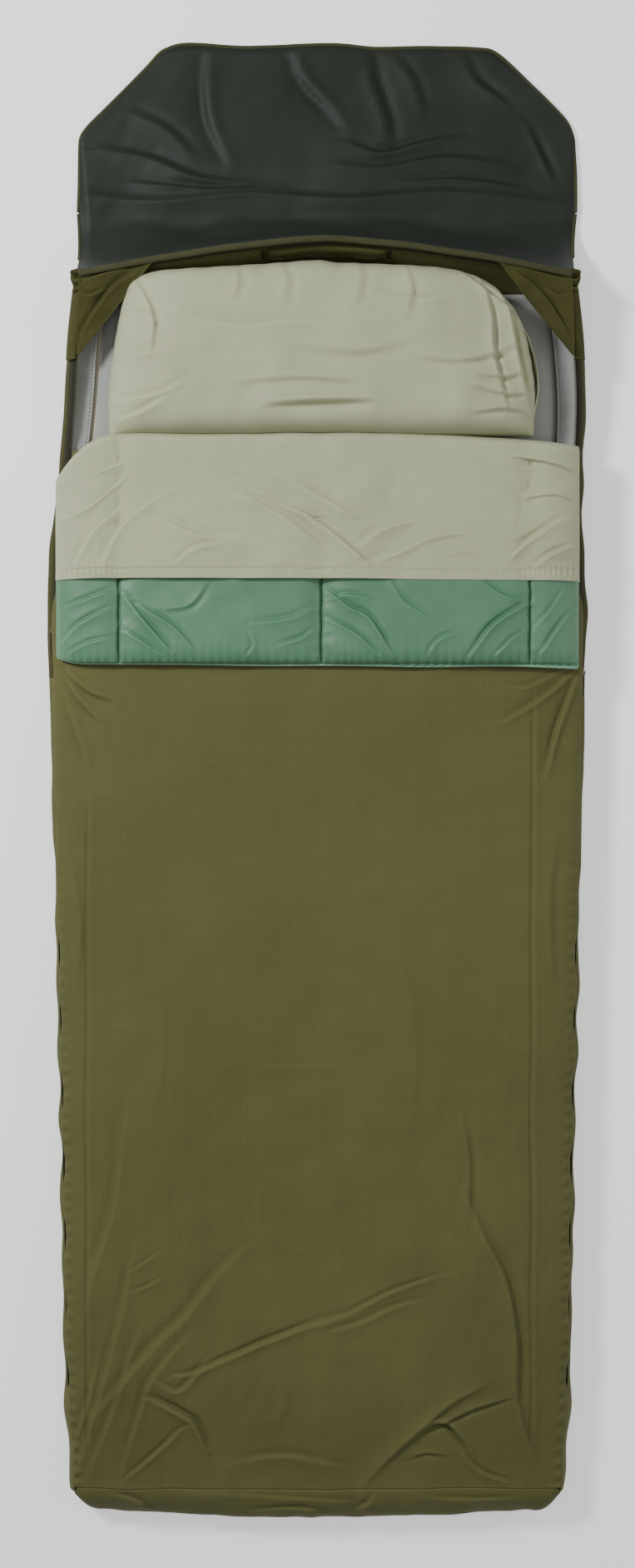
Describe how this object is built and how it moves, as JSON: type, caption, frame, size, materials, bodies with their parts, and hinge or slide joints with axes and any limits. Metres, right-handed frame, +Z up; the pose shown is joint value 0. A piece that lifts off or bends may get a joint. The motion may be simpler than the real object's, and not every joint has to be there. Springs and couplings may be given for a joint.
{
  "type": "bivy sack",
  "caption": "Canvas bivy bedroll laid open, with side zips, weather flap, mattress, quilt, sheet cuff and pillow.",
  "frame": {"origin": "middle of the outline, on the ground", "axes": "+Z up, +Y towards the head end and the open flap, +X to the sleeper's right-hand zip as seen from above with the head up"},
  "size_m": [0.8504, 2.3392, 0.156],
  "materials": {
    "canvas": "matte olive canvas",
    "floor_cloth": "matte coated floor cloth",
    "coated_cloth": "smooth charcoal coating",
    "binding": "matte olive tape",
    "lining": "smooth pale grey lining",
    "mattress_cloth": "matte pale grey knit",
    "foam": "open-cell foam",
    "sage_cotton": "matte plain-weave cotton",
    "pillow_filling": "soft white ticking",
    "quilt_nylon": "semi-gloss downproof nylon",
    "zip_tape": "woven tape",
    "zip_coil": "nylon coil",
    "zip_metal": "dark antique metal"
  },
  "bodies": {
    "tub": {"floor_panel": "floor_cloth", "foot_wall": "canvas", "foot_piping": "zip_tape", "head_wall": "canvas", "rim_binding": "binding", "head_tab": "canvas", "top_cover": "canvas", "mattress_foam": "foam", "mattress_cover": "mattress_cloth", "sheet_body": "sage_cotton", "quilt_body": "quilt_nylon", "left_side_wall": "canvas", "right_side_wall": "canvas", "left_corner_gusset": "canvas", "right_corner_gusset": "canvas", "left_corner_ear": "canvas", "right_corner_ear": "canvas", "left_lining": "lining", "right_lining": "lining", "left_wall_zip_tape": "zip_tape", "right_wall_zip_tape": "zip_tape", "left_wall_zip_coil": "zip_coil", "right_wall_zip_coil": "zip_coil", "left_cover_zip_tape": "zip_tape", "right_cover_zip_tape": "zip_tape", "left_cover_zip_coil": "zip_coil", "right_cover_zip_coil": "zip_coil", "left_bottom_stop": "zip_metal", "right_bottom_stop": "zip_metal", "left_top_stop": "zip_metal", "right_top_stop": "zip_metal"},
    "cuff": {"cover_cuff": "canvas", "quilt_cuff": "quilt_nylon", "sheet_cuff": "sage_cotton", "sheet_hem": "sage_cotton", "quilt_edge_piping": "quilt_nylon", "left_cuff_zip_tape": "zip_tape", "left_cuff_zip_coil": "zip_coil", "right_cuff_zip_tape": "zip_tape", "right_cuff_zip_coil": "zip_coil"},
    "pillow": {"pillow_core": "pillow_filling", "pillowcase": "sage_cotton"},
    "flap_root": {"flap_skirt": "coated_cloth"},
    "flap": {"flap_outer": "canvas", "flap_lining": "coated_cloth", "flap_binding": "binding"},
    "left_slider": {"left_slider": "zip_metal"},
    "left_pull": {"left_pull": "zip_metal"},
    "right_slider": {"right_slider": "zip_metal"},
    "right_pull": {"right_pull": "zip_metal"}
  },
  "joints": [
    {"name": "flap_root_hinge", "type": "hinge", "parent": "tub", "child": "flap_root", "pos_m": [0, 0.838, 0.126], "axis": [1, 0, 0], "range_deg": [0, 220]},
    {"name": "flap_panel_hinge", "type": "hinge", "parent": "flap_root", "child": "flap", "pos_m": [0, 0.8965, 0.005], "axis": [1, 0, 0], "range_deg": [-41, 0]},
    {"name": "cuff_fold", "type": "hinge", "parent": "tub", "child": "cuff", "pos_m": [0, 0.5275, 0.1143], "axis": [1, 0, 0], "range_deg": [-110, 0]},
    {"name": "pillow_lift", "type": "slide", "parent": "tub", "child": "pillow", "axis": [0, 0, -1], "range_m": [-0.43, 0]},
    {"name": "left_zip_run", "type": "slide", "parent": "tub", "child": "left_slider", "axis": [0.0203, -0.9998, 0], "range_m": [0, 1.16]},
    {"name": "left_pull_swing", "type": "hinge", "parent": "left_slider", "child": "left_pull", "pos_m": [-0.42175, 0.23288, 0.04235], "axis": [0, 0, -1], "range_deg": [0, 165]},
    {"name": "right_zip_run", "type": "slide", "parent": "tub", "child": "right_slider", "axis": [-0.0203, -0.9998, 0], "range_m": [0, 1.09]},
    {"name": "right_pull_swing", "type": "hinge", "parent": "right_slider", "child": "right_pull", "pos_m": [0.42041, 0.16688, 0.04235], "axis": [0, 0, 1], "range_deg": [0, 165]}
  ],
  "couplings": [
    {"joint": "flap_panel_hinge", "follows": "flap_root_hinge", "ratio": -0.1844}
  ]
}
